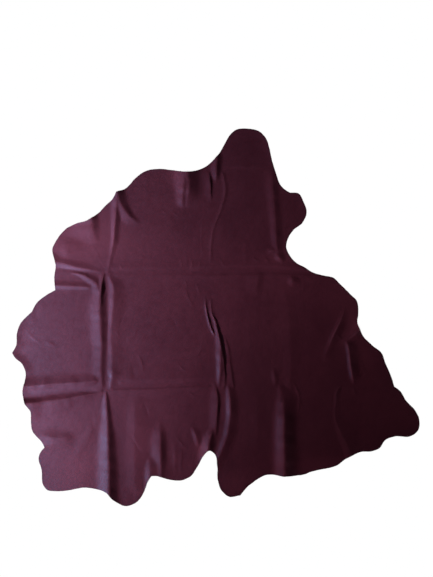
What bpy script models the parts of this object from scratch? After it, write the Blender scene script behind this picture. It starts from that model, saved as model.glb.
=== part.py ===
"""Leather hide: one whole upholstery hide, laid out on its flesh side.

It is a single sheet of dyed leather. Its panels lie flat on z = 0, and the creases of its folded
pack stand up between them as soft, uneven ridges. Where two ridges run side by side, the fold
between them is a valley. Metres, +Z up, with the neck at +Y. The origin is under the middle of
the hide's bounding box.
"""

from collections import namedtuple

import bpy
import numpy as np
from mathutils import Vector
from mathutils.geometry import delaunay_2d_cdt

MM = 0.001

# Driving sizes
THICKNESS = 1.2 * MM
EDGE_STEP = 21 * MM  # between points along the cut edge
CREST_STEP = 34 * MM  # between the rows of points across a fold
PANEL_STEP = 120 * MM  # between points on the flat panels
FOLD_GAP = 10.5 * MM  # least distance between points on the folds
PANEL_GAP = 48 * MM  # least distance from a panel's point to any other
PATH_STEP = 12 * MM  # how finely a fold's crest is followed to find its height

# One side of a fold, as shares of its width: round at the crest, straight, then run out at the foot
CREST_ROUND = 0.11
FOOT_ROUND = 0.45
ROW_SHARES = (0.0, 0.55, 1.0)  # where a fold has rows of points, out from its crest
CROSSING_POWER = 4  # folds that cross run into each other, and a higher power keeps them apart

WINE = (0.060, 0.010, 0.019, 1.0)
GRAIN_ROUGHNESS = 0.5

# The cut edge in millimetres, clockwise from the neck. The curve is smooth through each stretch's
# points, and it turns a corner at the first point of a stretch that starts at one.
CORNER = True
SMOOTH = False
Stretch = namedtuple("Stretch", "name start points")
EDGE = [
    Stretch("neck", SMOOTH, [
        (25, 975), (55, 1030), (85, 1080), (120, 1107), (195, 1112), (260, 1095),
        (295, 1055), (315, 995), (330, 930), (350, 865), (388, 772), (420, 745),
    ]),
    Stretch("fore shank", CORNER, [
        (436, 735), (485, 732), (517, 680), (535, 620), (512, 560), (455, 512),
        (425, 465), (416, 407), (436, 364), (480, 317),
    ]),
    Stretch("shoulder", SMOOTH, [
        (522, 296), (568, 266), (635, 247), (690, 235), (734, 195), (793, 136), (830, 98),
        (840, 30), (834, -35), (861, -100), (921, -165), (976, -209), (1000, -271), (1032, -342),
    ]),
    Stretch("flank", CORNER, [
        (1052, -408), (1084, -432), (1123, -493), (1174, -548), (1200, -610), (1192, -667),
        (1145, -702), (1056, -703), (1000, -723), (962, -774), (920, -790), (852, -794),
    ]),
    Stretch("belly", SMOOTH, [
        (777, -828), (707, -877), (635, -895), (566, -910), (519, -927), (401, -932),
        (283, -934), (227, -968), (182, -1004),
    ]),
    Stretch("hind lobe", CORNER, [
        (144, -1050), (77, -1057), (34, -1022), (12, -962), (8, -884), (-4, -811),
    ]),
    Stretch("tail notch", SMOOTH, [
        (-38, -783), (-76, -819), (-108, -880), (-151, -939), (-205, -962), (-280, -955), (-352, -933),
    ]),
    Stretch("tail lobe", CORNER, [
        (-380, -934), (-403, -972), (-427, -1036), (-467, -1090), (-537, -1112), (-599, -1079),
        (-646, -1030), (-703, -1014), (-779, -1005), (-859, -1019), (-945, -1026), (-997, -1017),
        (-1020, -985), (-1028, -902), (-1045, -825), (-1030, -790),
    ]),
    Stretch("rump", CORNER, [
        (-1010, -768), (-1030, -731), (-1083, -669), (-1090, -607), (-1089, -553), (-1121, -507),
        (-1139, -454), (-1125, -376), (-1121, -325), (-1140, -277), (-1183, -237),
    ]),
    Stretch("hip tip", CORNER, [(-1200, -210), (-1177, -165), (-1172, -94), (-1151, -35)]),
    Stretch("hip", CORNER, [(-1087, 31), (-1062, 78), (-1009, 125)]),
    Stretch("side", CORNER, [
        (-948, 160), (-953, 237), (-944, 307), (-963, 407), (-938, 458), (-883, 523),
        (-830, 550), (-755, 572), (-696, 613), (-649, 661), (-603, 704),
    ]),
    Stretch("back", CORNER, [
        (-585, 739), (-537, 758), (-467, 828), (-425, 858), (-339, 876), (-264, 869),
        (-156, 856), (-83, 877), (-30, 912),
    ]),
]

# The folds in millimetres, a row for each place where a crest turns or changes height. A fold's two
# sides are on the left and on the right of someone who walks its rows from first to last. Folds that
# leave the hide have their first or last row past the cut edge.
Place = namedtuple("Place", "x y height left right")
FOLDS = {
    "left fold, hind": [
        Place(-624, -1126, 16.5, 92, 66),
        Place(-627, -990, 16.5, 94, 66),
        Place(-629, -843, 15.5, 92, 60),
        Place(-636, -680, 12.5, 70, 48),
        Place(-639, -600, 9, 52, 34),
        Place(-642, -520, 6.5, 42, 26),
        Place(-649, -442, 3, 28, 14),
    ],
    "left fold, middle, near ridge": [
        Place(-671, -407, 3.5, 110, 24),
        Place(-676, -340, 6.5, 84, 36),
        Place(-676, -250, 7.5, 80, 38),
        Place(-674, -150, 8.5, 84, 40),
        Place(-678, -47, 11, 86, 48),
        Place(-685, 89, 12.5, 80, 54),
        Place(-689, 160, 10, 58, 46),
        Place(-702, 194, 7.5, 54, 42),
        Place(-720, 213, 6, 50, 38),
        Place(-750, 231, 5, 40, 30),
        Place(-784, 249, 4.5, 30, 18),
        Place(-822, 260, 3, 18, 12),
        Place(-862, 262, 0, 10, 10),
    ],
    "left fold, middle, far ridge": [
        Place(-622, -414, 2.5, 26, 40),
        Place(-611, -348, 7.5, 38, 84),
        Place(-611, -290, 5.5, 42, 90),
        Place(-612, -200, 4.5, 38, 90),
        Place(-618, -117, 3.5, 30, 80),
        Place(-612, -5, 5.5, 32, 84),
        Place(-604, 89, 8, 42, 90),
        Place(-606, 183, 7, 40, 76),
        Place(-628, 240, 3, 20, 40),
    ],
    "left fold, fore": [
        Place(-640, 260, 1.4, 18, 20),
        Place(-624, 349, 3, 22, 30),
        Place(-614, 400, 4.5, 22, 34),
        Place(-604, 455, 7.5, 22, 38),
        Place(-598, 526, 9, 28, 40),
        Place(-590, 602, 10.5, 38, 42),
        Place(-584, 700, 11, 42, 46),
        Place(-580, 773, 11.5, 42, 44),
    ],
    "shoulder branch": [
        Place(-587, 800, 14.5, 60, 60),
        Place(-574, 712, 14, 60, 72),
        Place(-553, 656, 11, 54, 78),
        Place(-514, 602, 7.5, 38, 66),
        Place(-450, 549, 0, 24, 36),
    ],
    "side pleat": [
        Place(-695, 440, 0, 60, 30),
        Place(-716, 478, 4, 120, 44),
        Place(-728, 526, 10, 170, 52),
        Place(-730, 561, 12.5, 190, 54),
        Place(-742, 614, 15.5, 200, 54),
    ],
    "side swell": [
        Place(-840, 300, 0, 70, 130),
        Place(-870, 360, 5, 110, 160),
        Place(-880, 420, 5, 120, 160),
        Place(-880, 480, 0, 110, 120),
    ],
    "side wrinkle, fore": [
        Place(-991, 331, 9, 74, 46),
        Place(-938, 324, 9, 74, 44),
        Place(-893, 316, 8.5, 70, 40),
        Place(-844, 302, 7, 60, 34),
        Place(-795, 291, 5, 50, 26),
        Place(-745, 284, 3, 36, 18),
        Place(-680, 268, 0.5, 22, 14),
    ],
    "side wrinkle, hind": [
        Place(-991, 188, 4.5, 40, 28),
        Place(-861, 184, 5, 38, 28),
        Place(-791, 180, 5, 36, 24),
        Place(-752, 176, 3.5, 32, 16),
    ],
    "rump cross fold, fore ridge": [
        Place(-1168, -408, 11, 70, 52),
        Place(-1068, -404, 11, 70, 50),
        Place(-979, -396, 10, 66, 50),
        Place(-891, -390, 9, 66, 48),
        Place(-773, -382, 8, 60, 48),
        Place(-714, -375, 6.5, 58, 46),
        Place(-684, -369, 3, 40, 36),
    ],
    "rump cross fold, hind ridge": [
        Place(-1204, -508, 18.5, 42, 150),
        Place(-1068, -504, 16.5, 40, 150),
        Place(-979, -492, 14, 41, 130),
        Place(-891, -482, 12, 40, 110),
        Place(-808, -466, 8.5, 32, 80),
        Place(-743, -455, 6, 22, 60),
        Place(-667, -441, 2, 12, 30),
    ],
    "neck fold": [
        Place(0, 800, 1, 18, 16),
        Place(0, 835, 8, 34, 30),
        Place(1, 890, 12, 44, 42),
        Place(5, 945, 8, 36, 42),
        Place(10, 985, 0, 24, 24),
    ],
    "neck crease": [
        Place(-32, 325, 1, 16, 16),
        Place(-15, 526, 2, 16, 18),
        Place(27, 638, 3, 16, 20),
        Place(53, 738, 3.5, 18, 26),
        Place(41, 844, 2, 16, 24),
    ],
    "back pleat": [
        Place(-196, 640, 0, 36, 30),
        Place(-198, 695, 11.5, 52, 60),
        Place(-193, 745, 15.5, 62, 80),
        Place(-187, 797, 18, 78, 90),
        Place(-182, 844, 19, 94, 100),
        Place(-178, 903, 19, 98, 100),
    ],
    "back pleat, edge": [
        Place(-178, 645, 0, 24, 30),
        Place(-169, 695, 10, 50, 80),
        Place(-162, 745, 15, 64, 84),
        Place(-158, 797, 19, 70, 88),
        Place(-166, 844, 20.5, 74, 92),
        Place(-162, 903, 20.5, 74, 92),
    ],
    "middle fold, fore": [
        Place(20, -400, 4, 28, 40),
        Place(23, -342, 9, 30, 46),
        Place(28, -253, 11.5, 38, 46),
        Place(27, -200, 10.5, 42, 34),
        Place(22, -150, 4.5, 30, 20),
        Place(14, -80, 0, 20, 14),
    ],
    "middle fold, fore, step": [
        Place(50, -395, 5, 46, 20),
        Place(50, -330, 7.5, 46, 17),
        Place(45, -253, 9, 42, 15),
        Place(29, -165, 11, 44, 15),
        Place(13, -90, 8.5, 32, 13),
        Place(-6, -20, 6, 18, 14),
        Place(-24, 20, 3.5, 15, 12),
        Place(-31, 101, 1.2, 12, 10),
    ],
    "middle fold, hind, near ridge": [
        Place(-13, -719, 3, 34, 32),
        Place(-3, -660, 7, 50, 24),
        Place(5, -580, 8.5, 58, 22),
        Place(8, -500, 9, 60, 24),
        Place(2, -430, 5, 44, 18),
        Place(-10, -380, 0, 24, 14),
    ],
    "middle fold, hind, far ridge": [
        Place(-15, -884, 6, 26, 60),
        Place(33, -784, 10, 34, 64),
        Place(68, -684, 11.5, 38, 66),
        Place(84, -578, 11.5, 37, 64),
        Place(83, -477, 11, 35, 60),
        Place(73, -398, 3, 24, 40),
    ],
    "notch fold": [
        Place(-51, -843, 18, 64, 46),
        Place(-46, -766, 18, 62, 52),
        Place(-38, -715, 15, 52, 50),
        Place(-22, -672, 7.5, 38, 28),
        Place(-12, -640, 0, 26, 12),
    ],
    "tail ridge": [
        Place(-324, -1002, 11, 54, 52),
        Place(-324, -890, 11, 56, 50),
        Place(-324, -813, 12.5, 78, 48),
        Place(-326, -725, 10.5, 82, 46),
        Place(-330, -620, 0, 44, 36),
    ],
    "tail edge": [
        Place(-384, -1010, 10, 58, 190),
        Place(-386, -935, 10, 56, 190),
        Place(-388, -885, 9, 50, 180),
        Place(-390, -850, 4.5, 40, 130),
        Place(-398, -815, 0, 30, 60),
    ],
    "right fold, fore": [
        Place(362, 340, 0.9, 31, 29),
        Place(361, 378, 4.5, 36, 46),
        Place(354, 449, 7.5, 38, 53),
        Place(348, 555, 7.5, 41, 53),
        Place(339, 673, 8, 50, 53),
        Place(331, 803, 7, 53, 53),
        Place(326, 900, 0, 41, 41),
    ],
    "right fold, hind": [
        Place(404, -1008, 23, 70, 110),
        Place(400, -813, 27, 72, 112),
        Place(396, -666, 27, 70, 104),
        Place(398, -548, 19, 66, 100),
        Place(390, -460, 8, 44, 110),
        Place(378, -407, 2, 26, 36),
    ],
    "flank fold, fore": [
        Place(636, -265, 0, 26, 60),
        Place(658, -188, 6, 28, 64),
        Place(686, -117, 9.5, 26, 60),
        Place(725, -35, 9.5, 26, 56),
        Place(764, 50, 0, 22, 34),
    ],
    "flank fold, edge": [
        Place(772, -140, 5.5, 40, 40),
        Place(814, -100, 15, 44, 50),
        Place(870, -38, 18.5, 48, 50),
    ],
    "flank fold, hind": [
        Place(814, -396, 0, 14, 40),
        Place(801, -350, 11, 18, 80),
        Place(796, -320, 15.5, 20, 80),
        Place(785, -240, 13, 18, 80),
        Place(775, -165, 10, 20, 70),
        Place(760, -115, 1, 16, 40),
    ],
    "hip pleat": [
        Place(-1097, -330, 0.5, 34, 44),
        Place(-1121, -300, 1.6, 38, 56),
        Place(-1156, -256, 2, 38, 56),
        Place(-1200, -205, 1.6, 38, 50),
    ],
}


def smooth_rows(rows, step, corners=(), closed=False):
    """Runs a table's rows together into one smooth curve, with a row at about every step along it.

    The first two columns are x and y, and the others change smoothly with them. The curve has a
    corner at each row that corners lists.
    """
    rows = np.array(rows, dtype=float)
    chord = np.roll(rows, -1, axis=0) - rows
    length = np.hypot(chord[:, 0], chord[:, 1])[:, None]
    after = chord / length
    before = np.roll(after, 1, axis=0)
    length_before = np.roll(length, 1, axis=0)
    leaving = (before * length + after * length_before) / (length + length_before)
    reaching = leaving.copy()
    last = len(rows) - 1
    ends = () if closed else (0, last)
    for corner in (*corners, *ends):
        leaving[corner] = after[corner]
        reaching[corner] = before[corner]
    found = []
    for i in range(len(rows) if closed else last):
        j = (i + 1) % len(rows)
        count = max(1, round(length[i, 0] / step))
        t = np.arange(count)[:, None] / count
        found.append(
            rows[i] * (2 * t**3 - 3 * t**2 + 1)
            + leaving[i] * length[i] * (t**3 - 2 * t**2 + t)
            + rows[j] * (3 * t**2 - 2 * t**3)
            + reaching[j] * length[i] * (t**3 - t**2)
        )
    if not closed:
        found.append(rows[last:])
    return np.concatenate(found)


def edge_loop():
    """The cut edge as a closed loop of points, clockwise seen from above."""
    points = []
    corners = []
    for stretch in EDGE:
        if stretch.start == CORNER:
            corners.append(len(points))
        points.extend(stretch.points)
    return smooth_rows(np.array(points) * MM, EDGE_STEP, corners, closed=True)


def fold_rows(places, step):
    """A fold's places run together into one smooth crest, in metres."""
    return smooth_rows(np.array(places) * MM, step)


def side_profile(share):
    """Height of a fold's side, from 1 at its crest to 0 at its foot and beyond."""
    share = np.clip(share, 0, 1)
    round_top = np.where(share < CREST_ROUND, share**2 / (2 * CREST_ROUND), share - CREST_ROUND / 2)
    run_out = np.maximum(share - (1 - FOOT_ROUND), 0) ** 2 / (2 * FOOT_ROUND)
    return 1 - (round_top - run_out) / (1 - CREST_ROUND / 2 - FOOT_ROUND / 2)


def fold_height(places, points):
    """Height that one fold gives each point, from the nearest place on its crest."""
    crest = fold_rows(places, PATH_STEP)
    start = crest[:-1, :2]
    run = np.diff(crest[:, :2], axis=0)
    away = points[:, None] - start
    along = np.clip((away * run).sum(axis=2) / (run**2).sum(axis=1), 0, 1)
    away = away - along[..., None] * run
    distance = np.hypot(away[..., 0], away[..., 1])
    nearest = distance.argmin(axis=1)
    each = np.arange(len(points))
    along = along[each, nearest, None]
    away = away[each, nearest]
    run = run[nearest]
    place = Place(*(crest[nearest] * (1 - along) + crest[nearest + 1] * along).T)
    on_left = run[:, 0] * away[:, 1] - run[:, 1] * away[:, 0] > 0
    width = np.where(on_left, place.left, place.right)
    return np.maximum(place.height, 0) * side_profile(distance[each, nearest] / width)


def hide_height(points):
    """Height of the hide's underside over the floor, with every fold run into its neighbours."""
    total = sum(fold_height(places, points) ** CROSSING_POWER for places in FOLDS.values())
    return total ** (1 / CROSSING_POWER)


def inside(points, loop):
    """Which points lie inside the closed loop."""
    start = loop
    end = np.roll(loop, -1, axis=0)
    spans = (start[:, 1] > points[:, 1, None]) != (end[:, 1] > points[:, 1, None])
    rise = np.where(end[:, 1] == start[:, 1], 1, end[:, 1] - start[:, 1])
    crossing = start[:, 0] + (points[:, 1, None] - start[:, 1]) * (end - start)[:, 0] / rise
    return (spans & (points[:, 0, None] < crossing)).sum(axis=1) % 2 == 1


def thin_out(candidates, gap, kept):
    """Adds to kept, in turn, each candidate that lies at least gap from all that is kept."""
    for point in candidates:
        if np.hypot(*(np.array(kept) - point).T).min() >= gap:
            kept.append(point)


def fold_points():
    """Points in rows along every fold, the crests first and the feet last."""
    found = []
    for share in ROW_SHARES:
        for places in FOLDS.values():
            crest = fold_rows(places, CREST_STEP)
            run = np.gradient(crest[:, :2], axis=0)
            leftward = np.column_stack([-run[:, 1], run[:, 0]]) / np.hypot(*run.T)[:, None]
            place = Place(*crest.T)
            found.append(crest[:, :2] + leftward * (place.left * share)[:, None])
            found.append(crest[:, :2] - leftward * (place.right * share)[:, None])
    return np.concatenate(found)


def panel_points(loop):
    """Points in staggered rows over the whole hide."""
    low = loop.min(axis=0)
    high = loop.max(axis=0)
    rows = []
    for number, y in enumerate(np.arange(low[1], high[1], PANEL_STEP * 3**0.5 / 2)):
        x = np.arange(low[0] + number % 2 * PANEL_STEP / 2, high[0], PANEL_STEP)
        rows.append(np.column_stack([x, np.full(len(x), y)]))
    return np.concatenate(rows)


def hide_mesh():
    """The underside of the hide as a mesh of triangles that face up."""
    loop = edge_loop()
    kept = list(loop)
    for candidates, gap in ((fold_points(), FOLD_GAP), (panel_points(loop), PANEL_GAP)):
        thin_out(candidates[inside(candidates, loop)], gap, kept)
    middle = (loop.min(axis=0) + loop.max(axis=0)) / 2
    flat = [Vector(point) for point in kept]
    edge = [list(range(len(loop)))]
    inner_triangles = 1
    points, _, faces, *_ = delaunay_2d_cdt(flat, [], edge, inner_triangles, 1e-6)
    points = np.array(points)
    corners = np.column_stack([points - middle, hide_height(points)])
    mesh = bpy.data.meshes.new("hide")
    mesh.from_pydata(corners.tolist(), [], faces)
    mesh.update()
    if sum(polygon.normal.z for polygon in mesh.polygons) < 0:
        mesh.flip_normals()
    mesh.shade_smooth()
    return mesh


def grain_leather():
    """Wine leather, dyed through, with a softly glossy grain side."""
    material = bpy.data.materials.new("wine_grain_leather")
    material.use_nodes = True
    shader = material.node_tree.nodes["Principled BSDF"]
    shader.inputs["Base Color"].default_value = WINE
    shader.inputs["Roughness"].default_value = GRAIN_ROUGHNESS
    shader.inputs["Metallic"].default_value = 0
    material.diffuse_color = WINE
    return material


def add_hide():
    """The hide as one closed sheet: its underside, thickened upwards."""
    hide = bpy.data.objects.new("hide", hide_mesh())
    hide.data.materials.append(grain_leather())
    bpy.context.scene.collection.objects.link(hide)
    sheet = hide.modifiers.new("sheet", "SOLIDIFY")
    sheet.thickness = THICKNESS
    sheet.offset = 1
    sheet.use_even_offset = True


for old in list(bpy.data.objects):
    bpy.data.objects.remove(old)
add_hide()
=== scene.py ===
"""The looks of one whole upholstery hide in wine leather, laid out on its flesh side.

The hide is one closed sheet, cut and folded as its solid is: the same edge and the same main folds,
then the finer folds, creases and lifted edges that its leather shows. Its grain side, its flesh
side and its cut edge have a material each. Metres, +Z up, with the neck at +Y.
"""

import math
from collections import namedtuple

import bpy
import numpy as np
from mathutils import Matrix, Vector, kdtree, noise
from mathutils.geometry import delaunay_2d_cdt


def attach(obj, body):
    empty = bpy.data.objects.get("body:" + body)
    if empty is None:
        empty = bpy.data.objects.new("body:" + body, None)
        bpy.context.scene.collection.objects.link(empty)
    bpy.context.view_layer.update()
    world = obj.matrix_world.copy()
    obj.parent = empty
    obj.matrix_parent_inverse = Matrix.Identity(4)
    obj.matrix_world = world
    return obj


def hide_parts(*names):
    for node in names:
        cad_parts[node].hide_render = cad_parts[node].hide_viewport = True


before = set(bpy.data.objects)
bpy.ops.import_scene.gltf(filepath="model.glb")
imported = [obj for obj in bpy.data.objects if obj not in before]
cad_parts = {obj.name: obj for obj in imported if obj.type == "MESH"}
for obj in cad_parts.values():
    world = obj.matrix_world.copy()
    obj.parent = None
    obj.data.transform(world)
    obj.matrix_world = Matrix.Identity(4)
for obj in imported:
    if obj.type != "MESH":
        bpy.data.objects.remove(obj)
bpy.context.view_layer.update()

MM = 0.001

# Sizes of the sheet
THICKNESS = 1.2 * MM

# How finely the sheet is made
EDGE_STEP = 5 * MM  # between points along the cut edge
PATH_STEP = 8 * MM  # between points along the crest of a fold or a crease
PANEL_STEP = 12 * MM  # between points on the flat panels
ROW_GAP = 3.8 * MM  # least distance between points on a fold
CREASE_GAP = 3.4 * MM
PANEL_GAP = 7.5 * MM
CELL = 8 * MM  # of the grid in which near points are looked up
BATCH = 4000  # points looked at together, which keeps the memory used small
MERGE_GAP = 1e-6  # points this near are one point
ROW_SHARES = (0.0, 0.07, 0.16, 0.3, 0.47, 0.65, 0.82, 1.0)  # where rows lie on a fold's side
CREASE_SHARES = (0.0, 0.5, 1.0)

# One side of a fold, as shares of its width: round at the crest, straight, then run out at the foot
CREST_ROUND = 0.11
FOOT_ROUND = 0.45
CROSSING_POWER = 4  # folds that cross run into each other, and a higher power keeps them apart

# What makes the folds as uneven as leather's
WANDER = 2.2 * MM  # of a crest to either side of its line
WANDER_SIZE = 75 * MM
SWELLING = 0.22  # of a fold's height, up or down, along its crest
SWELLING_SIZE = 48 * MM
WANDER_X_SEED = 0.3
WANDER_Y_SEED = 0.6
SWELLING_SEED = 0.8

# The gentle waves of the panels: Wave("height", "size")
Wave = namedtuple("Wave", "height size")
WAVES = [Wave(1.2 * MM, 380 * MM), Wave(0.8 * MM, 150 * MM), Wave(0.28 * MM, 60 * MM)]
WAVES_SEED = 1
KIND_SEED_STEP = 10  # keeps kinds of wave that are laid over each other apart

# The cut edge in millimetres, clockwise from the neck. The curve is smooth through each stretch's
# points, and it turns a corner at the first point of a stretch that starts at one.
CORNER = True
SMOOTH = False
Stretch = namedtuple("Stretch", "name start points")
EDGE = [
    Stretch("neck", SMOOTH, [
        (25, 975), (55, 1030), (85, 1080), (120, 1107), (195, 1112), (260, 1095),
        (295, 1055), (315, 995), (330, 930), (350, 865), (388, 772), (420, 745),
    ]),
    Stretch("fore shank", CORNER, [
        (436, 735), (485, 732), (517, 680), (535, 620), (512, 560), (455, 512),
        (425, 465), (416, 407), (436, 364), (480, 317),
    ]),
    Stretch("shoulder", SMOOTH, [
        (522, 296), (568, 266), (635, 247), (690, 235), (734, 195), (793, 136), (830, 98),
        (840, 30), (834, -35), (861, -100), (921, -165), (976, -209), (1000, -271), (1032, -342),
    ]),
    Stretch("flank", CORNER, [
        (1052, -408), (1084, -432), (1123, -493), (1174, -548), (1200, -610), (1192, -667),
        (1145, -702), (1056, -703), (1000, -723), (962, -774), (920, -790), (852, -794),
    ]),
    Stretch("belly", SMOOTH, [
        (777, -828), (707, -877), (635, -895), (566, -910), (519, -927), (401, -932),
        (283, -934), (227, -968), (182, -1004),
    ]),
    Stretch("hind lobe", CORNER, [
        (144, -1050), (77, -1057), (34, -1022), (12, -962), (8, -884), (-4, -811),
    ]),
    Stretch("tail notch", SMOOTH, [
        (-38, -783), (-76, -819), (-108, -880), (-151, -939), (-205, -962), (-280, -955), (-352, -933),
    ]),
    Stretch("tail lobe", CORNER, [
        (-380, -934), (-403, -972), (-427, -1036), (-467, -1090), (-537, -1112), (-599, -1079),
        (-646, -1030), (-703, -1014), (-779, -1005), (-859, -1019), (-945, -1026), (-997, -1017),
        (-1020, -985), (-1028, -902), (-1045, -825), (-1030, -790),
    ]),
    Stretch("rump", CORNER, [
        (-1010, -768), (-1030, -731), (-1083, -669), (-1090, -607), (-1089, -553), (-1121, -507),
        (-1139, -454), (-1125, -376), (-1121, -325), (-1140, -277), (-1183, -237),
    ]),
    Stretch("hip tip", CORNER, [(-1200, -210), (-1177, -165), (-1172, -94), (-1151, -35)]),
    Stretch("hip", CORNER, [(-1087, 31), (-1062, 78), (-1009, 125)]),
    Stretch("side", CORNER, [
        (-948, 160), (-953, 237), (-944, 307), (-963, 407), (-938, 458), (-883, 523),
        (-830, 550), (-755, 572), (-696, 613), (-649, 661), (-603, 704),
    ]),
    Stretch("back", CORNER, [
        (-585, 739), (-537, 758), (-467, 828), (-425, 858), (-339, 876), (-264, 869),
        (-156, 856), (-83, 877), (-30, 912),
    ]),
]

# How the knife and later handling left the edge uneven
EDGE_WAVES = [Wave(1.3 * MM, 46 * MM), Wave(0.8 * MM, 17 * MM)]
EDGE_SEED = 5

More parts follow.
